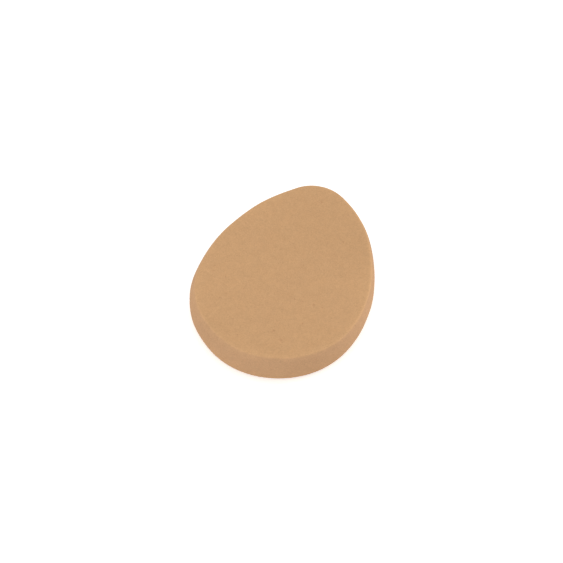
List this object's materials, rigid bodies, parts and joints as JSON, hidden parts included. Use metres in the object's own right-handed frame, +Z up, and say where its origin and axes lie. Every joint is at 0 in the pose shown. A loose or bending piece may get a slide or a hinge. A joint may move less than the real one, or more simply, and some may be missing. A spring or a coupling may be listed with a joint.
{
  "type": "makeup sponge",
  "caption": "Flat egg-shaped make-up sponge of fine-celled foam, with crisp-edged flat faces and a softly bulging wall, held in the fingers to dab and blend.",
  "frame": {"origin": "centre of the outline's box, on the lower face that the sponge rests on", "axes": "+Y along the long axis from the blunt end to the narrow tip, +Z up out of the upper face, +X across to the right"},
  "size_m": [0.06, 0.077, 0.012],
  "materials": {
    "foam": "matt tan fine-celled foam, open pores and a ground edge"
  },
  "bodies": {
    "root": {"foam_block": "foam"}
  },
  "joints": []
}
